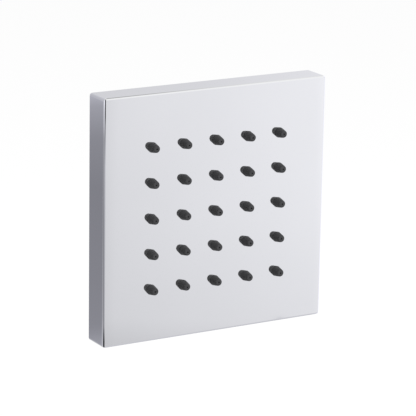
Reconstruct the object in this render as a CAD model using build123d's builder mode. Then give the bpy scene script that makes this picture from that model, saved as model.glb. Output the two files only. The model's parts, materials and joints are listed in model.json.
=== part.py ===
from build123d import *

import os
from math import atan, cos, degrees, hypot, pi

# A square shower body jet: a chromed tray with a grid of soft nozzles, fixed flush to a wall.
# Millimetres. X is to the right, Y into the wall and Z up. The wall is the plane Y = 0, and the
# supply pipe runs along the Y axis. Every depth is a distance out from the wall, so what lies
# inside the wall has a negative depth.

# Shapes
square_sides = 4
hexagon_sides = 6

# Face shell
plate_size = 120.0
plate_depth = 14.4
plate_corner_radius = 1.4
front_edge_radius = 0.9
side_wall = 2.5
face_wall = 2.2
cavity_corner_radius = 1.5

# Nozzles
nozzles_per_row = 5
nozzle_pitch = 17.25
nozzle_base_diameter = 4.9
nozzle_tip_diameter = 3.2
nozzle_height = 4.4
nozzle_hole_clearance = 0.05
nozzle_sides = 16
bore_inlet_diameter = 3.4
orifice_diameter = 1.0
bore_sides = 8

# Nozzle mat and the grid that holds it against the face
mat_thickness = 1.8
mat_margin = 8.5
mat_corner_radius = 6.0
grid_thickness = 2.0
grid_window = 9.0

# Water chamber
chamber_depth = 3.0
chamber_floor = 1.7
chamber_rim = 5.0
chamber_corner_radius = 4.0
seal_width = 2.0
seal_height = 1.5
seal_clearance = 0.1
ear_diameter = 8.0
ear_thickness = 3.0
back_ribs_per_side = 3
back_rib_pitch = 18.0
back_rib_width = 1.6
back_rib_height = 1.2
back_rib_gap = 1.0

# Chamber screws and their bosses
screw_diameter = 3.0
screw_clearance = 0.1
screw_head_diameter = 5.5
screw_head_height = 2.0
screw_end_gap = 0.4
boss_diameter = 7.0
boss_gap = 0.2
boss_hole_overrun = 0.5
thread_clearance = 0.05

# Wall bracket, bent from sheet
bracket_thickness = 1.5
bracket_gap = 2.0
bracket_band = 13.5
bracket_corner_radius = 3.0
bracket_window_radius = 10.0
bend_radius = 1.0
bend_relief = 1.5
slot_width = 5.0
slot_length = 9.0
slot_edge = 7.5
tab_offset = 30.0
tab_width = 14.0
clip_length = 9.0
clip_bump_depth = 6.0
clip_bump_radius = 1.0
clip_bump_height = 0.7
clip_bump_width = 8.0
clip_clearance = 0.2
clip_rib_thickness = 1.6

# Lock screws in the underside
lock_screw_diameter = 4.0
lock_screw_depth = 6.5
lock_screw_recess = 0.5
lock_socket_size = 2.0
lock_socket_depth = 2.0
lock_dog_diameter = 2.6
lock_dog_reach = 0.5
lock_dog_gap = 0.5
lock_hole_clearance = 0.2
lock_tab_margin = 3.5

# Foam pad round the pipe
wall_seal_size = 60.0
wall_seal_corner_radius = 4.0
wall_seal_hole_diameter = 34.0

# Inlet nipple and the neck that it plugs into
spigot_diameter = 18.0
spigot_clearance = 0.1
spigot_setback = 1.7
neck_wall = 3.4
neck_length = 12.7
neck_lead_in = 0.8
ring_seal_section = 1.8
ring_seal_clearance = 0.02
ring_seal_side_gap = 0.3
ring_seal_setback = 3.0
ring_seal_pitch = 4.5
shoulder_diameter = 26.0
shoulder_thickness = 3.5
shoulder_gap = 0.5
washer_thickness = 2.0
washer_clearance = 0.1
thread_relief_diameter = 18.6
inlet_thread_diameter = 20.955
inlet_thread_length = 12.0
inlet_thread_chamfer = 1.0
key_size = 10.0
key_depth = 11.0
waterway_diameter = 8.5

# Regulator and strainer in the nipple's rear bore
insert_bore_diameter = 15.4
insert_bore_depth = 12.5
insert_clearance = 0.2
regulator_length = 6.0
regulator_wall = 1.5
regulator_base = 1.8
regulator_post_diameter = 4.4
regulator_post_length = 4.5
regulator_slot_count = 6
regulator_slot_width = 1.6
regulator_slot_gap = 0.4
regulator_ring_section = 1.6
regulator_ring_clearance = 0.1
strainer_thickness = 1.5
strainer_rim = 1.4
strainer_screen = 0.5
strainer_windows_per_row = 4
strainer_window = 1.6
strainer_pitch = 2.3

# Outlines that follow from these
cavity_size = plate_size - 2 * side_wall
nozzle_hole_diameter = nozzle_base_diameter + 2 * nozzle_hole_clearance
mat_size = (nozzles_per_row - 1) * nozzle_pitch + 2 * mat_margin
chamber_size = mat_size - 2 * chamber_rim
seal_size = mat_size - chamber_rim + seal_width
screw_spacing = (mat_size + cavity_size) / 2
bracket_size = cavity_size - 2 * bracket_gap
bracket_window = bracket_size - 2 * bracket_band
slot_spacing = bracket_size - 2 * slot_edge
neck_bore_diameter = spigot_diameter + 2 * spigot_clearance
neck_diameter = neck_bore_diameter + 2 * neck_wall
ring_groove_diameter = neck_bore_diameter - 2 * (ring_seal_section + 2 * ring_seal_clearance)
insert_diameter = insert_bore_diameter - 2 * insert_clearance

# Depths, from the face back to the wall and on into it
face_back = plate_depth - face_wall
mat_back = face_back - mat_thickness
grid_back = mat_back - grid_thickness
floor_front = grid_back - chamber_depth
housing_back = floor_front - chamber_floor
ear_back = grid_back - ear_thickness
boss_back = grid_back + boss_gap
neck_end = housing_back - neck_length
spigot_front = floor_front - spigot_setback
front_seal_depth = spigot_front - ring_seal_setback
rear_seal_depth = front_seal_depth - ring_seal_pitch
shoulder_front = neck_end - shoulder_gap
shoulder_back = shoulder_front - shoulder_thickness
washer_back = shoulder_back - washer_thickness
thread_end = washer_back - inlet_thread_length
nipple_back = thread_end - inlet_thread_chamfer
insert_front = nipple_back + insert_bore_depth
regulator_back = insert_front - regulator_length
strainer_back = regulator_back - strainer_thickness
clip_rib_front = clip_bump_depth - clip_bump_radius - clip_clearance

# Places of the lock screws on a level plane
lock_places = [(-tab_offset, -lock_screw_depth), (tab_offset, -lock_screw_depth)]


def wall_plane(depth):
    """The plane parallel to the wall at a depth, seen from the front: x right, y up."""
    return Plane.XZ.offset(depth)


def level_plane(height):
    """The level plane at a height, seen from above: x right, y towards the wall."""
    return Plane.XY.offset(height)


def draft_angle(sides, large_diameter, small_diameter, length):
    """The angle in degrees that narrows a many-sided prism from one diameter to another."""
    flat_distance = (large_diameter - small_diameter) / 2 * cos(pi / sides)
    return degrees(atan(flat_distance / length))


def nozzle_grid():
    """The places of the nozzles on a wall plane."""
    return GridLocations(nozzle_pitch, nozzle_pitch, nozzles_per_row, nozzles_per_row)


def screw_corners():
    """The places of the chamber screws on a wall plane, one beyond each corner of the chamber."""
    return GridLocations(screw_spacing, screw_spacing, 2, 2)


# Face shell: a tray with its mouth against the wall
with BuildPart() as face_shell:
    with BuildSketch(wall_plane(0)):
        RectangleRounded(plate_size, plate_size, plate_corner_radius)
    extrude(amount=plate_depth)
    fillet(face_shell.faces().sort_by(Axis.Y)[0].edges(), front_edge_radius)
    with BuildSketch(wall_plane(0)):
        RectangleRounded(cavity_size, cavity_size, cavity_corner_radius)
    extrude(amount=face_back, mode=Mode.SUBTRACT)
    # Bosses that the chamber screws bite into
    with BuildSketch(wall_plane(boss_back)):
        with screw_corners():
            Circle(boss_diameter / 2)
    extrude(amount=face_back - boss_back)
    with BuildSketch(wall_plane(boss_back)):
        with screw_corners():
            Circle(screw_diameter / 2 + thread_clearance)
    extrude(amount=face_back - boss_back + boss_hole_overrun, mode=Mode.SUBTRACT)
    # Ribs under the top wall, which snap in behind the bracket's clips
    rib_height = bracket_gap - clip_clearance
    with BuildSketch(wall_plane(clip_rib_front - clip_rib_thickness)):
        with Locations((-tab_offset, cavity_size / 2), (tab_offset, cavity_size / 2)):
            Rectangle(tab_width, 2 * rib_height)
        Rectangle(plate_size, cavity_size + side_wall, mode=Mode.INTERSECT)
    extrude(amount=clip_rib_thickness)
    # Threaded holes for the lock screws in the bottom wall
    with BuildSketch(level_plane(-plate_size / 2)):
        with Locations(*lock_places):
            Circle(lock_screw_diameter / 2 + thread_clearance)
    extrude(amount=side_wall, mode=Mode.SUBTRACT)
    # Holes that the nozzles stand through
    with BuildSketch(wall_plane(face_back)):
        with nozzle_grid():
            Circle(nozzle_hole_diameter / 2)
    extrude(amount=face_wall, mode=Mode.SUBTRACT)

# One soft nozzle and its bore, standing on the plane of the mat's back. They are drawn with flats,
# which keeps so many of them light.
barrel_length = mat_thickness + face_wall
nozzle_length = barrel_length + nozzle_height
with BuildPart() as nozzle:
    with BuildSketch(Plane.XY.offset(barrel_length)):
        RegularPolygon(nozzle_base_diameter / 2, nozzle_sides)
    extrude(amount=nozzle_height)
    draft(
        nozzle.faces().filter_by(Axis.Z, reverse=True),
        Plane.XY.offset(barrel_length),
        draft_angle(nozzle_sides, nozzle_base_diameter, nozzle_tip_diameter, nozzle_height),
    )
    with BuildSketch(Plane.XY):
        RegularPolygon(nozzle_base_diameter / 2, nozzle_sides)
    extrude(amount=barrel_length)

with BuildPart() as nozzle_bore:
    with BuildSketch(Plane.XY):
        RegularPolygon(bore_inlet_diameter / 2, bore_sides)
    extrude(amount=nozzle_length)
    draft(
        nozzle_bore.faces().filter_by(Axis.Z, reverse=True),
        Plane.XY,
        draft_angle(bore_sides, bore_inlet_diameter, orifice_diameter, nozzle_length),
    )

# Nozzle mat: a soft sheet with all the nozzles, each bored to a fine orifice
with BuildPart() as nozzle_mat:
    with BuildSketch(wall_plane(mat_back)):
        RectangleRounded(mat_size, mat_size, mat_corner_radius)
    extrude(amount=mat_thickness)
    with Locations(wall_plane(mat_back)):
        with nozzle_grid():
            add(nozzle.part)
            add(nozzle_bore.part, mode=Mode.SUBTRACT)

# Support grid: one window behind each nozzle
with BuildPart() as mat_support_grid:
    with BuildSketch(wall_plane(grid_back)):
        RectangleRounded(mat_size, mat_size, mat_corner_radius)
        with nozzle_grid():
            Rectangle(grid_window, grid_window, mode=Mode.SUBTRACT)
    extrude(amount=grid_thickness)

# Chamber housing: a shallow tray with screw ears, and a neck that reaches into the wall
with BuildPart() as chamber_housing:
    with BuildSketch(wall_plane(housing_back)):
        RectangleRounded(mat_size, mat_size, mat_corner_radius)
    extrude(amount=grid_back - housing_back)
    with BuildSketch(wall_plane(ear_back)):
        ear_span = hypot(screw_spacing, screw_spacing)
        for diagonal in (45, -45):
            SlotCenterToCenter(ear_span, ear_diameter, rotation=diagonal)
    extrude(amount=ear_thickness)
    with BuildSketch(wall_plane(floor_front)):
        RectangleRounded(chamber_size, chamber_size, chamber_corner_radius)
    extrude(amount=chamber_depth, mode=Mode.SUBTRACT)
    with BuildSketch(wall_plane(grid_back - seal_height)):
        RectangleRounded(seal_size, seal_size, chamber_corner_radius)
        offset(amount=seal_clearance)
        offset(amount=-seal_width - 2 * seal_clearance, mode=Mode.SUBTRACT)
    extrude(amount=seal_height, mode=Mode.SUBTRACT)
    with BuildSketch(wall_plane(ear_back)):
        with screw_corners():
            Circle(screw_diameter / 2 + screw_clearance)
    extrude(amount=ear_thickness, mode=Mode.SUBTRACT)
    # Neck, with a lead-in for the spigot's seals
    with BuildSketch(wall_plane(housing_back)):
        Circle(neck_diameter / 2)
    extrude(amount=-neck_length)
    with BuildSketch(wall_plane(neck_end)):
        Circle(neck_bore_diameter / 2)
    extrude(amount=floor_front - neck_end, mode=Mode.SUBTRACT)
    neck_mouth = chamber_housing.edges().filter_by(GeomType.CIRCLE).group_by(Axis.Y)[-1]
    chamfer(neck_mouth.sort_by(SortBy.RADIUS)[0], neck_lead_in)
    # Stiffening ribs on the back, between the foam pad and the edge of the bracket's window
    rib_inner = wall_seal_size / 2 + back_rib_gap
    rib_outer = bracket_window / 2 - back_rib_gap
    with BuildSketch(wall_plane(housing_back)):
        with PolarLocations((rib_inner + rib_outer) / 2, square_sides):
            with GridLocations(0, back_rib_pitch, 1, back_ribs_per_side):
                Rectangle(rib_outer - rib_inner, back_rib_width)
    extrude(amount=-back_rib_height)

# Chamber seal: a square gasket in the rim's groove
with BuildPart() as chamber_seal:
    with BuildSketch(wall_plane(grid_back - seal_height)):
        RectangleRounded(seal_size, seal_size, chamber_corner_radius)
        offset(amount=-seal_width, mode=Mode.SUBTRACT)
    extrude(amount=seal_height)

# Chamber screws: pan heads behind the ears, shanks in the shell's bosses
with BuildPart() as chamber_screws:
    with BuildSketch(wall_plane(ear_back - screw_head_height)):
        with screw_corners():
            Circle(screw_head_diameter / 2)
    extrude(amount=screw_head_height)
    with BuildSketch(wall_plane(ear_back)):
        with screw_corners():
            Circle(screw_diameter / 2)
    extrude(amount=face_back + boss_hole_overrun - screw_end_gap - ear_back)

# Foam pad between the chamber's back and the wall
with BuildPart() as wall_seal:
    with BuildSketch(wall_plane(0)):
        RectangleRounded(wall_seal_size, wall_seal_size, wall_seal_corner_radius)
        Circle(wall_seal_hole_diameter / 2, mode=Mode.SUBTRACT)
    extrude(amount=housing_back)

# Wall bracket: a sheet frame with slots, two clips at the top and two drilled tabs at the bottom
with BuildPart() as wall_bracket:
    relief_depth = bend_radius + bracket_thickness + bend_relief
    with BuildSketch(wall_plane(0)):
        RectangleRounded(bracket_size, bracket_size, bracket_corner_radius)
        RectangleRounded(bracket_window, bracket_window, bracket_window_radius, mode=Mode.SUBTRACT)
        with GridLocations(slot_spacing, 0, 2, 1):
            SlotOverall(slot_length, slot_width, mode=Mode.SUBTRACT)
        with GridLocations(2 * tab_offset, bracket_size, 2, 2):
            Rectangle(tab_width + 2 * bend_relief, 2 * relief_depth, mode=Mode.SUBTRACT)
    extrude(amount=bracket_thickness)
    lock_tab_length = lock_screw_depth + lock_tab_margin
    for edge_side, tab_length in ((1, clip_length), (-1, lock_tab_length)):
        edge_height = edge_side * bracket_size / 2
        inner_height = edge_height - edge_side * bracket_thickness
        root_height = edge_height - edge_side * bracket_band / 2
        for tab_middle in (-tab_offset, tab_offset):
            with BuildSketch(Plane.YZ.offset(tab_middle - tab_width / 2)):
                with BuildLine():
                    outside = FilletPolyline(
                        (0, root_height),
                        (0, edge_height),
                        (-tab_length, edge_height),
                        radius=bend_radius + bracket_thickness,
                    )
                    inside = FilletPolyline(
                        (-bracket_thickness, root_height),
                        (-bracket_thickness, inner_height),
                        (-tab_length, inner_height),
                        radius=bend_radius,
                    )
                    Line(outside @ 0, inside @ 0)
                    Line(outside @ 1, inside @ 1)
                make_face()
            extrude(amount=tab_width)
    bump_middle = bracket_size / 2 + clip_bump_height - clip_bump_radius
    for tab_middle in (-tab_offset, tab_offset):
        with BuildSketch(Plane.YZ.offset(tab_middle - clip_bump_width / 2)):
            with Locations((-clip_bump_depth, bump_middle)):
                Circle(clip_bump_radius)
        extrude(amount=clip_bump_width)
    with BuildSketch(level_plane(-bracket_size / 2)):
        with Locations(*lock_places):
            Circle(lock_dog_diameter / 2 + lock_hole_clearance)
    extrude(amount=bracket_thickness, mode=Mode.SUBTRACT)

# Lock screws: set screws with a dog point in the bracket's tabs and a socket below
with BuildPart() as lock_screws:
    lock_bottom = lock_screw_recess - plate_size / 2
    dog_bottom = -bracket_size / 2 - lock_dog_gap
    dog_top = -bracket_size / 2 + bracket_thickness + lock_dog_reach
    with BuildSketch(level_plane(lock_bottom)):
        with Locations(*lock_places):
            Circle(lock_screw_diameter / 2)
    extrude(amount=dog_bottom - lock_bottom)
    with BuildSketch(level_plane(dog_bottom)):
        with Locations(*lock_places):
            Circle(lock_dog_diameter / 2)
    extrude(amount=dog_top - dog_bottom)
    with BuildSketch(level_plane(lock_bottom)):
        with Locations(*lock_places):
            RegularPolygon(lock_socket_size / 2, hexagon_sides, major_radius=False)
    extrude(amount=lock_socket_depth, mode=Mode.SUBTRACT)

# Inlet nipple, turned: spigot, shoulder, washer seat and pipe thread from front to back
with BuildPart() as inlet_nipple:
    with BuildSketch(Plane.XY):
        with BuildLine():
            Polyline(
                (0, -spigot_front),
                (spigot_diameter / 2, -spigot_front),
                (spigot_diameter / 2, -shoulder_front),
                (shoulder_diameter / 2, -shoulder_front),
                (shoulder_diameter / 2, -shoulder_back),
                (thread_relief_diameter / 2, -shoulder_back),
                (thread_relief_diameter / 2, -washer_back),
                (inlet_thread_diameter / 2, -washer_back),
                (inlet_thread_diameter / 2, -thread_end),
                (inlet_thread_diameter / 2 - inlet_thread_chamfer, -nipple_back),
                (0, -nipple_back),
                close=True,
            )
        make_face()
    revolve(axis=Axis.Y)
    groove_width = ring_seal_section + 2 * ring_seal_side_gap
    for seal_depth in (front_seal_depth, rear_seal_depth):
        with BuildSketch(wall_plane(seal_depth - groove_width / 2)):
            Circle(spigot_diameter / 2)
            Circle(ring_groove_diameter / 2, mode=Mode.SUBTRACT)
        extrude(amount=groove_width, mode=Mode.SUBTRACT)
    with BuildSketch(wall_plane(nipple_back)):
        Circle(waterway_diameter / 2)
    extrude(amount=spigot_front - nipple_back, mode=Mode.SUBTRACT)
    with BuildSketch(wall_plane(spigot_front)):
        RegularPolygon(key_size / 2, hexagon_sides, major_radius=False)
    extrude(amount=-key_depth, mode=Mode.SUBTRACT)
    with BuildSketch(wall_plane(nipple_back)):
        Circle(insert_bore_diameter / 2)
    extrude(amount=insert_bore_depth, mode=Mode.SUBTRACT)


def ring_seal_section_at(seal_depth):
    """Half section of a square-cut ring seal, between its groove's floor and the neck."""
    with BuildSketch(Plane.XY) as section:
        with Locations(((ring_groove_diameter + neck_bore_diameter) / 4, -seal_depth)):
            Rectangle(ring_seal_section, ring_seal_section)
    return section.sketch


with BuildPart() as spigot_seal_front:
    add(ring_seal_section_at(front_seal_depth))
    revolve(axis=Axis.Y)

with BuildPart() as spigot_seal_rear:
    add(ring_seal_section_at(rear_seal_depth))
    revolve(axis=Axis.Y)

# Washer in the relief between the nipple's shoulder and its thread
with BuildPart() as nipple_washer:
    with BuildSketch(wall_plane(washer_back)):
        Circle(shoulder_diameter / 2)
        Circle(thread_relief_diameter / 2 + washer_clearance, mode=Mode.SUBTRACT)
    extrude(amount=washer_thickness)

# Flow regulator: a cup with a slotted base and a post that carries the elastic ring
with BuildPart() as flow_regulator_body:
    with BuildSketch(wall_plane(regulator_back)):
        Circle(insert_diameter / 2)
    extrude(amount=regulator_length)
    with BuildSketch(wall_plane(regulator_back)):
        Circle(insert_diameter / 2 - regulator_wall)
        Circle(regulator_post_diameter / 2, mode=Mode.SUBTRACT)
    extrude(amount=regulator_length - regulator_base, mode=Mode.SUBTRACT)
    post_back = insert_front - regulator_post_length
    with BuildSketch(wall_plane(regulator_back)):
        Circle(regulator_post_diameter / 2)
    extrude(amount=post_back - regulator_back, mode=Mode.SUBTRACT)
    with BuildSketch(wall_plane(insert_front)):
        slot_inner = regulator_post_diameter / 2 + regulator_slot_gap
        slot_outer = waterway_diameter / 2
        with PolarLocations((slot_inner + slot_outer) / 2, regulator_slot_count):
            Rectangle(slot_outer - slot_inner, regulator_slot_width)
    extrude(amount=-regulator_base, mode=Mode.SUBTRACT)

with BuildPart() as flow_regulator_ring:
    with BuildSketch(wall_plane(insert_front - regulator_base)):
        ring_inner = regulator_post_diameter / 2 + regulator_ring_clearance
        Circle(ring_inner + regulator_ring_section)
        Circle(ring_inner, mode=Mode.SUBTRACT)
    extrude(amount=-regulator_ring_section)

# Strainer: a rim with a screen across its front
with BuildPart() as inlet_strainer:
    with BuildSketch(wall_plane(strainer_back)):
        Circle(insert_diameter / 2)
        Circle(insert_diameter / 2 - strainer_rim, mode=Mode.SUBTRACT)
    extrude(amount=strainer_thickness)
    with BuildSketch(wall_plane(regulator_back)):
        Circle(insert_diameter / 2 - strainer_rim)
        with GridLocations(
            strainer_pitch, strainer_pitch, strainer_windows_per_row, strainer_windows_per_row
        ):
            Rectangle(strainer_window, strainer_window, mode=Mode.SUBTRACT)
    extrude(amount=-strainer_screen)

pieces = {
    "face_shell": face_shell,
    "nozzle_mat": nozzle_mat,
    "mat_support_grid": mat_support_grid,
    "chamber_housing": chamber_housing,
    "chamber_seal": chamber_seal,
    "chamber_screws": chamber_screws,
    "wall_seal": wall_seal,
    "wall_bracket": wall_bracket,
    "lock_screws": lock_screws,
    "inlet_nipple": inlet_nipple,
    "spigot_seal_front": spigot_seal_front,
    "spigot_seal_rear": spigot_seal_rear,
    "nipple_washer": nipple_washer,
    "flow_regulator_body": flow_regulator_body,
    "flow_regulator_ring": flow_regulator_ring,
    "inlet_strainer": inlet_strainer,
}

os.makedirs("parts", exist_ok=True)
for piece_name, piece in pieces.items():
    piece.part.label = piece_name
    export_step(piece.part, f"parts/{piece_name}.step")
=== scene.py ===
"""Looks of a square shower body jet: a mirror-chromed tray with soft grey nozzles in a white studio.

Metres, in the part's own frame: X to the right, Y into the wall and Z up. The wall is the plane Y = 0.
"""

import json
import math

import bmesh
import bpy
from mathutils import Matrix, Vector


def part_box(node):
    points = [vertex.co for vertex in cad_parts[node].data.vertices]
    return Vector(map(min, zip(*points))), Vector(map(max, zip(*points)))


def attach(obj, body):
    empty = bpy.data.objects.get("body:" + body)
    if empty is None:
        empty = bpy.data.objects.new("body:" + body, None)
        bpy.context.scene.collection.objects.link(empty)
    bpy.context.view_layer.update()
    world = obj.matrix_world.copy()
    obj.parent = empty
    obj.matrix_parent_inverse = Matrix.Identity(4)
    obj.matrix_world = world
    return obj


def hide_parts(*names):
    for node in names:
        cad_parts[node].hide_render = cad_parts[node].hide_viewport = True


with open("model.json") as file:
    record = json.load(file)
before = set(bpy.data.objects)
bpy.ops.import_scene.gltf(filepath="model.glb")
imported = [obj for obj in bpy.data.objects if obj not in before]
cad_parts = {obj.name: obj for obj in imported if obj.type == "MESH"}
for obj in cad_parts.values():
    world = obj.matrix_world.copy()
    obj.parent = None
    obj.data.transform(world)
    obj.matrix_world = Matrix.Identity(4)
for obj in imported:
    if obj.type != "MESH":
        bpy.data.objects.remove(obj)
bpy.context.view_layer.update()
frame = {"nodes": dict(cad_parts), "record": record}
cad_nodes = frame["nodes"]

MM = 0.001

# Camera, fitted to the plate's edges and the nozzle grid in the photograph
PHOTO_SIZE_PX = 416
FOCAL_LENGTH_PX = 2509.3
SENSOR_WIDTH_MM = 36.0
CAMERA_AZIMUTH_DEG = -30.083
CAMERA_ELEVATION_DEG = 15.07
CAMERA_ROLL_DEG = 0.967
CAMERA_DISTANCE = 1.2059
CAMERA_TARGET = Vector((4.133, 0.0, -2.731)) * MM

# Studio
WHITE = (1.0, 1.0, 1.0, 1.0)
FLOOR_DROP = 0.6
FLOOR_SIZE = 60.0
FLOOR_COLOUR = (0.8, 0.8, 0.8, 1.0)
FLOOR_GLOW = 0.6
AMBIENT_STRENGTH = 0.45
KEY_PLACE = Vector((0.7, -1.5, 1.0))
KEY_SIZE = 0.9
KEY_POWER = 24.0

# Cards that the chrome mirrors
ROOM_RADIUS = 1.5
ROOM_FLOOR = -0.59
ROOM_TOP = 0.8
ROOM_BANDS = 12
ROOM_BAND_LEVEL = 0.88
ROOM_BAND_CONTRAST = 0.2
NEUTRAL = (1.0, 1.0, 1.0)
EDGE_CARD_RADIUS = 1.2 * MM
EDGE_CARD_BOTTOM = -66.0 * MM
EDGE_CARD_TOP = 61.0 * MM
EDGE_CARD_DROP = 0.1 * MM
EDGE_CARD_TINT = (1.0, 1.0, 1.08)

# Range that most values of a noise lie in
NOISE_LOW = 0.3
NOISE_HIGH = 0.7

# Plate
TRAY_WALL = 2.1 * MM
FRONT_EDGE_RADIUS = 0.9 * MM

# Nozzle mat
NOZZLES_PER_ROW = 5
NOZZLE_PITCH = 17.25 * MM
NOZZLE_BASE_RADIUS = 2.45 * MM
NOZZLE_SHOULDER_RADIUS = 1.77 * MM
NOZZLE_BULGE = 0.05 * MM
NOZZLE_TIP_ROUNDING = 0.6 * MM
ORIFICE_RADIUS = 0.34 * MM
ORIFICE_LIP = 0.06 * MM
ORIFICE_LENGTH = 1.5 * MM
BORE_INLET_RADIUS = 1.7 * MM
MAT_THICKNESS = 1.8 * MM
MAT_CORNER_RADIUS = 6.0 * MM
NOZZLE_SEGMENTS = 48

# Inlet nipple, with a half-inch parallel pipe thread
THREAD_PITCH = 1.814 * MM
THREAD_DEPTH = 1.162 * MM
THREAD_ROWS_PER_TURN = 14
NIPPLE_SEGMENTS = 96


# Mesh helpers


def add_object(name, mesh, material):
    """A new piece of the object, riding on its one body."""
    mesh.materials.append(material)
    piece = bpy.data.objects.new(name, mesh)
    bpy.context.scene.collection.objects.link(piece)
    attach(piece, "root")
    return piece


def join_rings(bm, rings, closed):
    """Quads between each ring of points and the next, and from the last back to the first if closed."""
    rows = [[bm.verts.new(point) for point in ring] for ring in rings]
    pairs = list(zip(rows, rows[1:]))
    if closed:
        pairs.append((rows[-1], rows[0]))
    for near, far in pairs:
        for index in range(len(near)):
            following = (index + 1) % len(near)
            bm.faces.new((near[index], near[following], far[following], far[index]))


def finish_mesh(name, bm, sharp_angle_deg):
    """The mesh of a bmesh, with its faces turned outwards and smooth up to an angle."""
    bmesh.ops.recalc_face_normals(bm, faces=bm.faces)
    mesh = bpy.data.meshes.new(name)
    bm.to_mesh(mesh)
    bm.free()
    mesh.shade_smooth()
    mesh.set_sharp_from_angle(angle=math.radians(sharp_angle_deg))
    return mesh


def circle(radius, y, segments, centre=(0.0, 0.0)):
    """Points of a circle about a line along Y."""
    points = []
    for index in range(segments):
        angle = math.tau * index / segments
        x = centre[0] + radius * math.cos(angle)
        z = centre[1] + radius * math.sin(angle)
        points.append(Vector((x, y, z)))
    return points


# Material helpers


def new_material(name):
    """A new material, its node tree and its Principled shader."""
    material = bpy.data.materials.new(name)
    material.use_nodes = True
    tree = material.node_tree
    return material, tree, tree.nodes["Principled BSDF"]


def part_coordinates(tree):
    """Places in the part's own frame, in metres."""
    return tree.nodes.new("ShaderNodeTexCoord").outputs["Object"]


def calculate(tree, operation, *values):
    """The result of a Math node on numbers and sockets."""
    node = tree.nodes.new("ShaderNodeMath")
    node.operation = operation
    for socket, value in zip(node.inputs, values):
        if isinstance(value, float):
            socket.default_value = value
        else:
            tree.links.new(value, socket)
    return node.outputs["Value"]


def noise(tree, scale, detail=3.0, stretch=(1.0, 1.0, 1.0)):
    """The value of a noise over the piece, in waves per metre."""
    mapping = tree.nodes.new("ShaderNodeMapping")
    mapping.inputs["Scale"].default_value = stretch
    texture = tree.nodes.new("ShaderNodeTexNoise")
    texture.inputs["Scale"].default_value = scale
    texture.inputs["Detail"].default_value = detail
    tree.links.new(part_coordinates(tree), mapping.inputs["Vector"])
    tree.links.new(mapping.outputs["Vector"], texture.inputs["Vector"])
    return texture.outputs["Fac"]


def spread(tree, value, low, high):
    """A noise value spread between two numbers."""
    span = tree.nodes.new("ShaderNodeMapRange")
    span.inputs["From Min"].default_value = NOISE_LOW
    span.inputs["From Max"].default_value = NOISE_HIGH
    span.inputs["To Min"].default_value = low
    span.inputs["To Max"].default_value = high
    tree.links.new(value, span.inputs["Value"])
    return span.outputs["Result"]


def colour_between(tree, value, dark, light):
    """A colour between two colours, by a noise value or a like one."""
    ramp = tree.nodes.new("ShaderNodeValToRGB")
    ramp.color_ramp.elements[0].position = NOISE_LOW
    ramp.color_ramp.elements[0].color = (*dark, 1.0)
    ramp.color_ramp.elements[1].position = NOISE_HIGH
    ramp.color_ramp.elements[1].color = (*light, 1.0)
    tree.links.new(value, ramp.inputs["Fac"])
    return ramp.outputs["Color"]


def bump(tree, shader, height, distance):
    """Small relief of a height value, in metres, on a shader."""
    relief = tree.nodes.new("ShaderNodeBump")
    relief.inputs["Distance"].default_value = distance
    tree.links.new(height, relief.inputs["Height"])
    tree.links.new(relief.outputs["Normal"], shader.inputs["Normal"])


# Materials


def inside_tray(tree):
    """One inside the plate's tray, and nought on its outside."""
    low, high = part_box("face_shell")
    split = tree.nodes.new("ShaderNodeSeparateXYZ")
    tree.links.new(part_coordinates(tree), split.inputs["Vector"])
    across = calculate(tree, "ABSOLUTE", split.outputs["X"])
    upward = calculate(tree, "ABSOLUTE", split.outputs["Z"])
    outwards = calculate(tree, "MAXIMUM", across, upward)
    within_walls = calculate(tree, "LESS_THAN", outwards, high.x - TRAY_WALL)
    behind_face = calculate(tree, "GREATER_THAN", split.outputs["Y"], low.y + TRAY_WALL)
    return calculate(tree, "MULTIPLY", within_walls, behind_face)


def chrome():
    """Mirror chrome with a faint cool tint. Inside the tray it lies on the bare casting and is dull."""
    material, tree, shader = new_material("mirror_chrome")
    shader.inputs["Metallic"].default_value = 1.0
    inside = inside_tray(tree)
    polished_tint = colour_between(
        tree, noise(tree, scale=25.0), dark=(0.885, 0.89, 0.905), light=(0.9, 0.905, 0.92)
    )
    cast_tint = colour_between(
        tree, noise(tree, scale=500.0), dark=(0.3, 0.3, 0.3), light=(0.42, 0.42, 0.42)
    )
    tint = tree.nodes.new("ShaderNodeMixRGB")
    tree.links.new(inside, tint.inputs["Fac"])
    tree.links.new(polished_tint, tint.inputs["Color1"])
    tree.links.new(cast_tint, tint.inputs["Color2"])
    tree.links.new(tint.outputs["Color"], shader.inputs["Base Color"])
    polished_roughness = spread(tree, noise(tree, scale=60.0), low=0.02, high=0.04)
    cast_roughness = spread(tree, noise(tree, scale=900.0), low=0.4, high=0.55)
    polish = tree.nodes.new("ShaderNodeMix")
    tree.links.new(inside, polish.inputs["Factor"])
    tree.links.new(polished_roughness, polish.inputs["A"])
    tree.links.new(cast_roughness, polish.inputs["B"])
    tree.links.new(polish.outputs["Result"], shader.inputs["Roughness"])
    return material


def silicone():
    """Dark grey moulded silicone with a soft, slightly dusty skin."""
    material, tree, shader = new_material("grey_silicone")
    mottle = noise(tree, scale=900.0, detail=2.0)
    tint = colour_between(tree, mottle, dark=(0.045, 0.045, 0.048), light=(0.05, 0.05, 0.053))
    roughness = spread(tree, noise(tree, scale=1500.0), low=0.5, high=0.62)
    tree.links.new(tint, shader.inputs["Base Color"])
    tree.links.new(roughness, shader.inputs["Roughness"])
    shader.inputs["Specular IOR Level"].default_value = 0.3
    bump(tree, shader, noise(tree, scale=4000.0, detail=2.0), distance=0.004 * MM)
    return material


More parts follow.
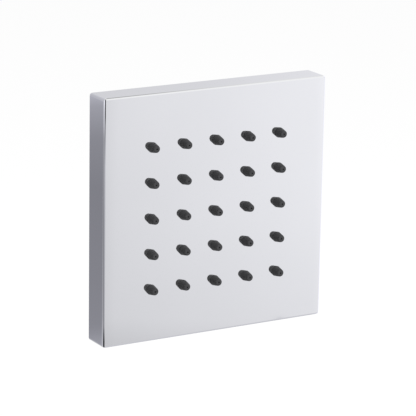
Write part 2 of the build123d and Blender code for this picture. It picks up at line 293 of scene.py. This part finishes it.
def moulding():
    """Dark grey moulded plastic with a fine spark-eroded grain."""
    material, tree, shader = new_material("moulded_plastic")
    mottle = noise(tree, scale=300.0)
    tint = colour_between(tree, mottle, dark=(0.05, 0.052, 0.055), light=(0.062, 0.064, 0.068))
    roughness = spread(tree, noise(tree, scale=800.0), low=0.42, high=0.58)
    tree.links.new(tint, shader.inputs["Base Color"])
    tree.links.new(roughness, shader.inputs["Roughness"])
    bump(tree, shader, noise(tree, scale=3500.0, detail=4.0), distance=0.03 * MM)
    return material


def seal_rubber():
    """Black rubber with a dull, faintly mottled skin."""
    material, tree, shader = new_material("black_rubber")
    mottle = noise(tree, scale=600.0)
    tint = colour_between(tree, mottle, dark=(0.014, 0.014, 0.015), light=(0.024, 0.024, 0.025))
    roughness = spread(tree, noise(tree, scale=1200.0), low=0.55, high=0.75)
    tree.links.new(tint, shader.inputs["Base Color"])
    tree.links.new(roughness, shader.inputs["Roughness"])
    bump(tree, shader, noise(tree, scale=4000.0, detail=2.0), distance=0.02 * MM)
    return material


def foam():
    """Closed-cell foam: small open pores over a dark grey skin."""
    material, tree, shader = new_material("closed_cell_foam")
    cells = tree.nodes.new("ShaderNodeTexVoronoi")
    cells.inputs["Scale"].default_value = 1600.0
    tree.links.new(part_coordinates(tree), cells.inputs["Vector"])
    pores = cells.outputs["Distance"]
    tint = colour_between(tree, pores, dark=(0.03, 0.03, 0.031), light=(0.085, 0.085, 0.088))
    tree.links.new(tint, shader.inputs["Base Color"])
    shader.inputs["Roughness"].default_value = 0.9
    shader.inputs["Specular IOR Level"].default_value = 0.2
    bump(tree, shader, pores, distance=0.25 * MM)
    return material


def stainless():
    """Rolled stainless sheet, brushed along X."""
    material, tree, shader = new_material("brushed_stainless")
    shader.inputs["Metallic"].default_value = 1.0
    grain = noise(tree, scale=120.0, detail=6.0, stretch=(1.0, 40.0, 40.0))
    tint = colour_between(tree, grain, dark=(0.5, 0.5, 0.49), light=(0.66, 0.66, 0.65))
    roughness = spread(tree, grain, low=0.24, high=0.42)
    tree.links.new(tint, shader.inputs["Base Color"])
    tree.links.new(roughness, shader.inputs["Roughness"])
    bump(tree, shader, grain, distance=0.01 * MM)
    return material


def lathe_rings(tree):
    """The value of fine rings round the line along Y through the origin."""
    place = part_coordinates(tree)
    split = tree.nodes.new("ShaderNodeSeparateXYZ")
    flat = tree.nodes.new("ShaderNodeVectorMath")
    flat.operation = "MULTIPLY"
    flat.inputs[1].default_value = (1.0, 0.0, 1.0)
    radius = tree.nodes.new("ShaderNodeVectorMath")
    radius.operation = "LENGTH"
    join = tree.nodes.new("ShaderNodeCombineXYZ")
    rings = tree.nodes.new("ShaderNodeTexNoise")
    rings.inputs["Scale"].default_value = 5000.0
    rings.inputs["Detail"].default_value = 2.0
    tree.links.new(place, split.inputs["Vector"])
    tree.links.new(place, flat.inputs[0])
    tree.links.new(flat.outputs["Vector"], radius.inputs[0])
    tree.links.new(radius.outputs["Value"], join.inputs["X"])
    tree.links.new(split.outputs["Y"], join.inputs["Y"])
    tree.links.new(join.outputs["Vector"], rings.inputs["Vector"])
    return rings.outputs["Fac"]


def brass():
    """Bare turned brass: fine rings from the lathe, and a warm uneven tone."""
    material, tree, shader = new_material("turned_brass")
    shader.inputs["Metallic"].default_value = 1.0
    rings = lathe_rings(tree)
    tint = colour_between(tree, noise(tree, scale=250.0), dark=(0.66, 0.46, 0.2), light=(0.8, 0.6, 0.3))
    roughness = spread(tree, rings, low=0.18, high=0.36)
    tree.links.new(tint, shader.inputs["Base Color"])
    tree.links.new(roughness, shader.inputs["Roughness"])
    bump(tree, shader, rings, distance=0.01 * MM)
    return material


def insert_plastic():
    """Pale moulded plastic of the flow regulator."""
    material, tree, shader = new_material("pale_plastic")
    mottle = noise(tree, scale=400.0)
    tint = colour_between(tree, mottle, dark=(0.76, 0.77, 0.76), light=(0.83, 0.84, 0.83))
    roughness = spread(tree, noise(tree, scale=900.0), low=0.28, high=0.4)
    tree.links.new(tint, shader.inputs["Base Color"])
    tree.links.new(roughness, shader.inputs["Roughness"])
    bump(tree, shader, noise(tree, scale=3000.0, detail=2.0), distance=0.01 * MM)
    return material


materials = {
    "chrome": chrome(),
    "silicone": silicone(),
    "moulding": moulding(),
    "seal_rubber": seal_rubber(),
    "foam": foam(),
    "stainless": stainless(),
    "brass": brass(),
    "insert_plastic": insert_plastic(),
}

for subpart in frame["record"]["subparts"]:
    cad_nodes[subpart["node"]].material_slots[0].material = materials[subpart["material_slot"]]


# Nozzle mat: round nozzles with soft edges on a thin sheet


def pull_inside(x, z, half, radius):
    """The point nearest to (x, z) that lies in a square with rounded corners."""
    core = half - radius
    near_x = max(-core, min(core, x))
    near_z = max(-core, min(core, z))
    away = Vector((x - near_x, z - near_z))
    if away.length > radius:
        away = away.normalized() * radius
    return near_x + away.x, near_z + away.y


def cell_square(centre, y, half_mat):
    """Points of the square cell round a nozzle, cut back to the mat's outline."""
    points = []
    for index in range(NOZZLE_SEGMENTS):
        angle = math.tau * index / NOZZLE_SEGMENTS
        across = math.cos(angle)
        along = math.sin(angle)
        reach = NOZZLE_PITCH / 2 / max(abs(across), abs(along))
        x, z = pull_inside(
            centre[0] + across * reach, centre[1] + along * reach, half_mat, MAT_CORNER_RADIUS
        )
        points.append(Vector((x, y, z)))
    return points


def nozzle_profile(sheet_back, sheet_front, face_front, tip):
    """Radius and Y of a nozzle's rings: up from the sheet, over the tip and down the bore."""
    profile = [(NOZZLE_BASE_RADIUS, sheet_front)]
    narrowing = NOZZLE_BASE_RADIUS - NOZZLE_SHOULDER_RADIUS
    lean = math.atan((narrowing + 4 * NOZZLE_BULGE) / (face_front - tip))
    shoulder = tip + NOZZLE_TIP_ROUNDING * (1 - math.sin(lean))
    side_steps = 6
    for step in range(side_steps):
        share = step / side_steps
        radius = NOZZLE_BASE_RADIUS - narrowing * share + 4 * NOZZLE_BULGE * share * (1 - share)
        profile.append((radius, face_front + (shoulder - face_front) * share))
    rounding_steps = 6
    for step in range(rounding_steps + 1):
        turn = lean + (math.pi / 2 - lean) * step / rounding_steps
        radius = NOZZLE_SHOULDER_RADIUS - NOZZLE_TIP_ROUNDING * (math.cos(lean) - math.cos(turn))
        profile.append((radius, shoulder - NOZZLE_TIP_ROUNDING * (math.sin(turn) - math.sin(lean))))
    profile.append((ORIFICE_RADIUS + ORIFICE_LIP, tip))
    profile.append((ORIFICE_RADIUS, tip + ORIFICE_LIP))
    profile.append((ORIFICE_RADIUS, tip + ORIFICE_LENGTH))
    profile.append((BORE_INLET_RADIUS, sheet_back))
    return profile


def make_nozzle_mat():
    """The silicone mat, in place of its plain solid."""
    low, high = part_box("nozzle_mat")
    face_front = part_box("face_shell")[0].y
    sheet_back = high.y
    sheet_front = high.y - MAT_THICKNESS
    profile = nozzle_profile(sheet_back, sheet_front, face_front, low.y)
    first = -(NOZZLES_PER_ROW - 1) / 2 * NOZZLE_PITCH
    bm = bmesh.new()
    for column in range(NOZZLES_PER_ROW):
        for row in range(NOZZLES_PER_ROW):
            centre = (first + column * NOZZLE_PITCH, first + row * NOZZLE_PITCH)
            rings = [cell_square(centre, sheet_front, high.x)]
            rings += [circle(radius, y, NOZZLE_SEGMENTS, centre) for radius, y in profile]
            rings.append(cell_square(centre, sheet_back, high.x))
            join_rings(bm, rings, closed=False)
    merge_distance = 0.001 * MM
    bmesh.ops.remove_doubles(bm, verts=bm.verts, dist=merge_distance)
    bmesh.ops.bridge_loops(bm, edges=[edge for edge in bm.edges if edge.is_boundary])
    mesh = finish_mesh("soft_nozzle_mat", bm, sharp_angle_deg=40.0)
    piece = add_object("soft_nozzle_mat", mesh, materials["silicone"])
    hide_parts("nozzle_mat")


# Inlet nipple, turned, with its thread cut


def make_inlet_nipple():
    """The brass nipple, in place of its plain solid."""
    low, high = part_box("inlet_nipple")
    washer_low, washer_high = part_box("nipple_washer")
    front_seal_low, front_seal_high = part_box("spigot_seal_front")
    rear_seal_low, rear_seal_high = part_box("spigot_seal_rear")
    insert_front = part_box("flow_regulator_body")[0].y
    groove_gap = 0.3 * MM
    groove_radius = 7.26 * MM
    spigot_radius = 9.0 * MM
    edge_break = 0.3 * MM
    shoulder_front = 9.5 * MM
    shoulder_radius = high.x
    relief_radius = 9.3 * MM
    thread_radius = 10.4775 * MM
    end_chamfer = 1.0 * MM
    insert_radius = 7.7 * MM
    waterway_radius = 4.25 * MM
    key_half_width = 5.0 * MM
    key_end = low.y + 11.0 * MM

    def thread_at(angle, y):
        turn = y / THREAD_PITCH + angle / math.tau
        groove = 0.5 - 0.5 * math.cos(math.tau * turn)
        chamfer = min(0.0, high.y - end_chamfer - y)
        return min(thread_radius - THREAD_DEPTH * groove, thread_radius + chamfer)

    def key_at(angle, y):
        sixth = math.pi / 3
        return key_half_width / math.cos((angle + sixth / 2) % sixth - sixth / 2)

    def ring(radius, y):
        points = []
        for index in range(NIPPLE_SEGMENTS):
            angle = math.tau * index / NIPPLE_SEGMENTS
            distance = radius(angle, y) if callable(radius) else radius
            points.append(Vector((distance * math.cos(angle), y, distance * math.sin(angle))))
        return points

    rings = [ring(spigot_radius - edge_break, low.y), ring(spigot_radius, low.y + edge_break)]
    for seal_low, seal_high in ((front_seal_low, front_seal_high), (rear_seal_low, rear_seal_high)):
        groove_start = seal_low.y - groove_gap
        groove_end = seal_high.y + groove_gap
        rings.append(ring(spigot_radius, groove_start))
        rings.append(ring(groove_radius, groove_start))
        rings.append(ring(groove_radius, groove_end))
        rings.append(ring(spigot_radius, groove_end))
    rings.append(ring(spigot_radius, shoulder_front))
    rings.append(ring(shoulder_radius - edge_break, shoulder_front))
    rings.append(ring(shoulder_radius, shoulder_front + edge_break))
    rings.append(ring(shoulder_radius, washer_low.y - edge_break))
    rings.append(ring(shoulder_radius - edge_break, washer_low.y))
    rings.append(ring(relief_radius, washer_low.y))
    rings.append(ring(relief_radius, washer_high.y))
    thread_length = high.y - washer_high.y
    thread_rows = round(thread_length / THREAD_PITCH * THREAD_ROWS_PER_TURN)
    for row in range(thread_rows + 1):
        rings.append(ring(thread_at, washer_high.y + thread_length * row / thread_rows))
    rings.append(ring(insert_radius + edge_break, high.y))
    rings.append(ring(insert_radius, high.y - edge_break))
    rings.append(ring(insert_radius, insert_front))
    rings.append(ring(waterway_radius, insert_front))
    rings.append(ring(waterway_radius, key_end))
    rings.append(ring(key_at, key_end))
    rings.append(ring(key_at, low.y))
    bm = bmesh.new()
    join_rings(bm, rings, closed=True)
    mesh = finish_mesh("threaded_inlet_nipple", bm, sharp_angle_deg=35.0)
    piece = add_object("threaded_inlet_nipple", mesh, materials["brass"])
    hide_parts("inlet_nipple")


# Soft pieces behind the plate


def make_foam_pad():
    """The foam pad, pressed between chamber and wall so that its cut edges swell a little."""
    low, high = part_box("wall_seal")
    hole_radius = 17.0 * MM
    corner_radius = 4.0 * MM
    swell = 0.5 * MM
    edge_steps = 8
    segments = 160
    directions = [math.tau * index / segments for index in range(segments)]

    def outer(y, grow):
        points = []
        for angle in directions:
            reach = 2 * high.x
            x, z = pull_inside(
                reach * math.cos(angle), reach * math.sin(angle), high.x + grow, corner_radius
            )
            points.append(Vector((x, y, z)))
        return points

    rings = []
    for step in range(edge_steps + 1):
        share = step / edge_steps
        y = low.y + (high.y - low.y) * share
        rings.append(outer(y, swell * (math.sin(math.pi * share) - 1)))
    for step in range(edge_steps + 1):
        share = step / edge_steps
        y = high.y + (low.y - high.y) * share
        radius = hole_radius + swell * (1 - math.sin(math.pi * share))
        rings.append(circle(radius, y, segments))
    bm = bmesh.new()
    join_rings(bm, rings, closed=True)
    mesh = finish_mesh("foam_wall_pad", bm, sharp_angle_deg=60.0)
    piece = add_object("foam_wall_pad", mesh, materials["foam"])
    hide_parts("wall_seal")


def make_washer():
    """The rubber washer, with rounded edges."""
    low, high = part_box("nipple_washer")
    inner_radius = 9.4 * MM
    rounding = 0.5 * MM
    corner_steps = 5
    corners = (
        (high.x - rounding, low.y + rounding, -90.0),
        (high.x - rounding, high.y - rounding, 0.0),
        (inner_radius + rounding, high.y - rounding, 90.0),
        (inner_radius + rounding, low.y + rounding, 180.0),
    )
    rings = []
    for radius, y, start_deg in corners:
        for step in range(corner_steps + 1):
            turn = math.radians(start_deg + 90.0 * step / corner_steps)
            ring_radius = radius + rounding * math.cos(turn)
            ring_y = y + rounding * math.sin(turn)
            rings.append(circle(ring_radius, ring_y, NIPPLE_SEGMENTS))
    bm = bmesh.new()
    join_rings(bm, rings, closed=True)
    mesh = finish_mesh("rubber_washer", bm, sharp_angle_deg=60.0)
    piece = add_object("rubber_washer", mesh, materials["seal_rubber"])
    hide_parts("nipple_washer")


make_nozzle_mat()
make_inlet_nipple()
make_foam_pad()
make_washer()


# Studio


def viewed_rays(tree):
    """One for the rays that show the background: to the camera, by reflection or through glass."""
    path = tree.nodes.new("ShaderNodeLightPath")
    seen = calculate(tree, "MAXIMUM", path.outputs["Is Camera Ray"], path.outputs["Is Glossy Ray"])
    return calculate(tree, "MAXIMUM", seen, path.outputs["Is Transmission Ray"])


def make_world():
    """Even studio light, and a white background where it is seen."""
    world = bpy.data.worlds.new("studio")
    bpy.context.scene.world = world
    world.use_nodes = True
    tree = world.node_tree
    tree.nodes.clear()
    light = tree.nodes.new("ShaderNodeBackground")
    light.inputs["Strength"].default_value = AMBIENT_STRENGTH
    light.inputs["Color"].default_value = WHITE
    white = tree.nodes.new("ShaderNodeBackground")
    white.inputs["Color"].default_value = WHITE
    mix = tree.nodes.new("ShaderNodeMixShader")
    output = tree.nodes.new("ShaderNodeOutputWorld")
    tree.links.new(viewed_rays(tree), mix.inputs["Fac"])
    tree.links.new(light.outputs["Background"], mix.inputs[1])
    tree.links.new(white.outputs["Background"], mix.inputs[2])
    tree.links.new(mix.outputs["Shader"], output.inputs["Surface"])


def make_floor():
    """A plain pale floor well below the part, which hangs on a wall. It keeps the part's shadow."""
    material, tree, shader = new_material("studio_floor")
    shader.inputs["Base Color"].default_value = FLOOR_COLOUR
    shader.inputs["Roughness"].default_value = 0.9
    shader.inputs["Specular IOR Level"].default_value = 0.0
    shader.inputs["Emission Color"].default_value = WHITE
    glow = calculate(tree, "MULTIPLY", viewed_rays(tree), FLOOR_GLOW)
    tree.links.new(glow, shader.inputs["Emission Strength"])
    mesh = bpy.data.meshes.new("floor")
    half = FLOOR_SIZE / 2
    corners = [(-half, -half, -FLOOR_DROP), (half, -half, -FLOOR_DROP)]
    corners += [(half, half, -FLOOR_DROP), (-half, half, -FLOOR_DROP)]
    mesh.from_pydata(corners, [], [(0, 1, 2, 3)])
    mesh.materials.append(material)
    floor = bpy.data.objects.new("floor", mesh)
    bpy.context.scene.collection.objects.link(floor)


def tinted(grey, tint):
    """A grey with a tint, as a colour."""
    return (grey * tint[0], grey * tint[1], grey * tint[2], 1.0)


def add_ramp(tree, axis, stops, tint=NEUTRAL):
    """A colour that follows grey stops along one axis of a card."""
    coordinates = tree.nodes.new("ShaderNodeTexCoord")
    split = tree.nodes.new("ShaderNodeSeparateXYZ")
    ramp = tree.nodes.new("ShaderNodeValToRGB")
    elements = ramp.color_ramp.elements
    while len(elements) < len(stops):
        elements.new(1.0)
    for element, (place, grey) in zip(elements, stops):
        element.position = place
        element.color = tinted(grey, tint)
    tree.links.new(coordinates.outputs["Generated"], split.inputs["Vector"])
    tree.links.new(split.outputs[axis], ramp.inputs["Fac"])
    return ramp.outputs["Color"]


def make_card_material(name, axis, greys, across, tint):
    """A glowing card: one grey or grey stops along an axis, and stops of a factor along X."""
    material = bpy.data.materials.new(name)
    material.use_nodes = True
    tree = material.node_tree
    tree.nodes.clear()
    emission = tree.nodes.new("ShaderNodeEmission")
    if isinstance(greys, float):
        emission.inputs["Color"].default_value = tinted(greys, tint)
    else:
        tree.links.new(add_ramp(tree, axis, greys, tint), emission.inputs["Color"])
    if across:
        tree.links.new(add_ramp(tree, "X", across), emission.inputs["Strength"])
    output = tree.nodes.new("ShaderNodeOutputMaterial")
    tree.links.new(emission.outputs["Emission"], output.inputs["Surface"])
    return material


def add_room_bands(material):
    """Soft upright bands round the room, lighter and darker by turns."""
    tree = material.node_tree
    angle = tree.nodes.new("ShaderNodeTexGradient")
    angle.gradient_type = "RADIAL"
    tree.links.new(part_coordinates(tree), angle.inputs["Vector"])
    turn = calculate(tree, "MULTIPLY", angle.outputs["Fac"], math.tau * ROOM_BANDS)
    wave = calculate(tree, "SINE", turn)
    level = calculate(tree, "MULTIPLY_ADD", wave, ROOM_BAND_CONTRAST, ROOM_BAND_LEVEL)
    tree.links.new(level, tree.nodes["Emission"].inputs["Strength"])


def stage_card(name, mesh, axis, greys, across=None, tint=NEUTRAL):
    """Puts a card on the stage, where only reflections see it."""
    mesh.materials.append(make_card_material(name, axis, greys, across, tint))
    card = bpy.data.objects.new(name, mesh)
    bpy.context.scene.collection.objects.link(card)
    card.visible_camera = False
    card.visible_diffuse = False
    card.visible_transmission = False
    card.visible_shadow = False
    return card


def rectangle(name, width, height):
    """A flat mesh about its own origin."""
    mesh = bpy.data.meshes.new(name)
    corners = [(-width / 2, -height / 2, 0.0), (width / 2, -height / 2, 0.0)]
    corners += [(width / 2, height / 2, 0.0), (-width / 2, height / 2, 0.0)]
    mesh.from_pydata(corners, [], [(0, 1, 2, 3)])
    return mesh


def make_flat_card(name, aim, distance, size, greys, across=None, tint=NEUTRAL):
    """A flat card that faces the part from one direction, with its stops up its height."""
    card = stage_card(name, rectangle(name, *size), "Y", greys, across, tint)
    away = Vector(aim).normalized()
    sideways = away.cross(Vector((0.0, 0.0, 1.0))).normalized()
    turn = Matrix((sideways, -away.cross(sideways), -away)).transposed()
    card.matrix_world = Matrix.Translation(away * distance) @ turn.to_4x4()


def make_level_card(name, place, size, greys, turn_deg=0.0):
    """A level card above or below the part, with its stops from its left to its right."""
    card = stage_card(name, rectangle(name, *size), "X", greys)
    turn = Matrix.Rotation(math.radians(turn_deg), 4, "Z")
    card.matrix_world = Matrix.Translation(place) @ turn


def make_bent_card(name, centre, radius, azimuths, heights, greys, tint=NEUTRAL):
    """An upright card bent round a line, with its stops up its height.

    Azimuths count from the front to the left, in degrees.
    """
    mesh = bpy.data.meshes.new(name)
    steps = 24
    corners = []
    for height in heights:
        for step in range(steps + 1):
            azimuth = math.radians(azimuths[0] + (azimuths[1] - azimuths[0]) * step / steps)
            x = centre[0] - radius * math.sin(azimuth)
            y = centre[1] - radius * math.cos(azimuth)
            corners.append((x, y, height))
    row = steps + 1
    mesh.from_pydata(corners, [], [(i, i + 1, row + i + 1, row + i) for i in range(steps)])
    return stage_card(name, mesh, "Z", greys, tint=tint)


def make_room():
    """Pale walls round the part, open where the face card stands, with a ceiling and a floor."""
    for name, azimuths in (("room_card", (-12.0, 262.0)), ("right_card", (-98.0, -48.0))):
        card = make_bent_card(
            name,
            centre=(0.0, 0.0),
            radius=ROOM_RADIUS,
            azimuths=azimuths,
            heights=(ROOM_FLOOR, ROOM_TOP),
            greys=((0.0, 0.72), (0.43, 0.8), (1.0, 0.92)),
        )
        add_room_bands(card.data.materials[0])
    make_level_card(
        "ceiling_card",
        place=(0.0, 0.0, 1.0),
        size=(3.2, 3.2),
        greys=((0.0, 0.6), (0.44, 0.66), (0.56, 0.86), (0.66, 0.97), (1.0, 1.0)),
    )
    make_level_card(
        "floor_card",
        place=(0.0, 0.0, ROOM_FLOOR),
        size=(3.0, 3.0),
        greys=((0.0, 0.7), (1.0, 0.76)),
    )


def make_side_cards():
    """Cards for the plate's face, sides, corner and level edges, as the photograph's camera sees them."""
    make_flat_card(
        "face_card",
        aim=(0.488, -0.832, -0.263),
        distance=0.9,
        size=(0.6, 0.6),
        greys=(
            (0.0, 0.6), (0.325, 0.69), (0.342, 0.738), (0.356, 0.772), (0.5, 0.832), (0.66, 0.868),
            (1.0, 0.92),
        ),
        across=(
            (0.3, 1.13), (0.366, 1.125), (0.378, 1.058), (0.652, 0.9285), (0.668, 0.865),
            (0.675, 0.84),
        ),
        tint=(1.0, 1.0, 1.03),
    )
    make_flat_card(
        "left_card",
        aim=(-0.446, 0.853, -0.269),
        distance=0.9,
        size=(0.5, 0.6),
        greys=(
            (0.34, 0.4), (0.361, 0.308), (0.373, 0.27), (0.433, 0.252), (0.56, 0.238), (0.63, 0.276),
            (0.672, 0.37), (0.69, 0.5),
        ),
        tint=(1.0, 1.0, 1.12),
    )
    make_flat_card(
        "corner_card",
        aim=(-0.2, 0.834, 0.4),
        distance=1.1,
        size=(1.0, 1.0),
        greys=0.585,
        across=((0.0, 0.84), (1.0, 1.16)),
        tint=(1.0, 1.0, 1.08),
    )
    make_flat_card(
        "top_card",
        aim=(0.49, 0.845, 0.213),
        distance=0.9,
        size=(0.6, 0.5),
        greys=0.755,
        across=((0.0, 0.79), (0.5, 0.96), (1.0, 1.3)),
        tint=(1.0, 1.0, 1.04),
    )
    make_level_card(
        "overhead_card",
        place=(0.4, 0.49, 0.56),
        size=(0.3, 1.3),
        greys=((0.17, 0.42), (0.31, 0.45), (0.44, 0.7), (0.75, 0.85)),
        turn_deg=-15.0,
    )
    make_flat_card(
        "upper_front_card",
        aim=(0.483, -0.64, 0.595),
        distance=0.8,
        size=(0.5, 0.6),
        greys=0.97,
        across=((0.0, 1.03), (1.0, 0.94)),
    )
    make_flat_card(
        "low_card",
        aim=(0.49, 0.0, -0.87),
        distance=0.5,
        size=(1.4, 0.5),
        greys=0.63,
        tint=(1.0, 1.0, 1.06),
    )


def edge_card_azimuth(normal_deg):
    """Azimuth at which the camera's ray meets an edge card, by the rounding's normal that mirrors it."""
    turn = math.radians(normal_deg + CAMERA_AZIMUTH_DEG)
    offset = math.asin(FRONT_EDGE_RADIUS / EDGE_CARD_RADIUS * math.sin(turn))
    return 2 * normal_deg + CAMERA_AZIMUTH_DEG - math.degrees(offset)


def make_edge_card(name, axis, normals, greys):
    """A narrow card close to an upright edge, given by the stretch of the rounding that mirrors it.

    The stretch lies between two azimuths of the rounding's normal. Grey stops are by the height, in
    millimetres, at which the edge mirrors them.
    """
    if not isinstance(greys, float):
        length = EDGE_CARD_TOP - EDGE_CARD_BOTTOM
        lowest = EDGE_CARD_BOTTOM + EDGE_CARD_DROP
        greys = [((height * MM - lowest) / length, grey) for height, grey in greys]
    make_bent_card(
        name,
        centre=axis,
        radius=EDGE_CARD_RADIUS,
        azimuths=[edge_card_azimuth(normal) for normal in normals],
        heights=(EDGE_CARD_BOTTOM, EDGE_CARD_TOP),
        greys=greys,
        tint=EDGE_CARD_TINT,
    )


def make_edge_cards():
    """A light and a dark line for the front left edge, and a white one for the front right edge."""
    low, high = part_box("face_shell")
    left = (low.x + FRONT_EDGE_RADIUS, low.y + FRONT_EDGE_RADIUS)
    right = (high.x - FRONT_EDGE_RADIUS, low.y + FRONT_EDGE_RADIUS)
    make_edge_card(
        "edge_card_side",
        axis=left,
        normals=(55.0, 84.8),
        greys=(
            (-59.0, 0.68), (-52.5, 0.57), (-44.0, 0.41), (0.0, 0.315), (42.0, 0.34), (48.0, 0.47),
            (59.0, 0.56),
        ),
    )
    make_edge_card(
        "edge_card_middle",
        axis=left,
        normals=(30.0, 55.0),
        greys=(
            (-53.0, 0.12), (-48.0, 0.23), (0.0, 0.245), (41.0, 0.33), (47.6, 0.58), (55.0, 0.76),
            (58.0, 1.0),
        ),
    )
    make_edge_card(
        "edge_card_face",
        axis=left,
        normals=(-0.5, 30.0),
        greys=(
            (-56.5, 0.02), (-49.0, 0.4), (0.0, 0.46), (28.0, 0.55), (40.0, 0.37), (47.6, 0.25),
            (51.5, 0.05),
        ),
    )
    make_edge_card("edge_card_right", axis=right, normals=(-59.0, -9.0), greys=1.0)


def make_key_light():
    """One large soft light from the upper right."""
    light = bpy.data.lights.new("key", "AREA")
    light.shape = "SQUARE"
    light.size = KEY_SIZE
    light.energy = KEY_POWER
    key = bpy.data.objects.new("key", light)
    key.location = KEY_PLACE
    key.rotation_mode = "QUATERNION"
    key.rotation_quaternion = KEY_PLACE.to_track_quat("Z", "Y")
    key.visible_glossy = False
    bpy.context.scene.collection.objects.link(key)


def make_camera():
    """The photograph's camera."""
    azimuth = math.radians(CAMERA_AZIMUTH_DEG)
    elevation = math.radians(CAMERA_ELEVATION_DEG)
    roll = math.radians(CAMERA_ROLL_DEG)
    back = Vector((
        math.sin(azimuth) * math.cos(elevation),
        -math.cos(azimuth) * math.cos(elevation),
        math.sin(elevation),
    ))
    level_right = Vector((math.cos(azimuth), math.sin(azimuth), 0.0))
    level_up = back.cross(level_right)
    right = level_right * math.cos(roll) + level_up * math.sin(roll)
    up = level_up * math.cos(roll) - level_right * math.sin(roll)
    turn = Matrix((right, up, back)).transposed()
    data = bpy.data.cameras.new("camera")
    data.sensor_width = SENSOR_WIDTH_MM
    data.lens = FOCAL_LENGTH_PX / PHOTO_SIZE_PX * SENSOR_WIDTH_MM
    camera = bpy.data.objects.new("camera", data)
    camera.matrix_world = Matrix.Translation(CAMERA_TARGET + back * CAMERA_DISTANCE) @ turn.to_4x4()
    bpy.context.scene.collection.objects.link(camera)
    bpy.context.scene.camera = camera


make_world()
make_floor()
make_room()
make_side_cards()
make_edge_cards()
make_key_light()
make_camera()
bpy.context.scene.view_settings.view_transform = "Standard"
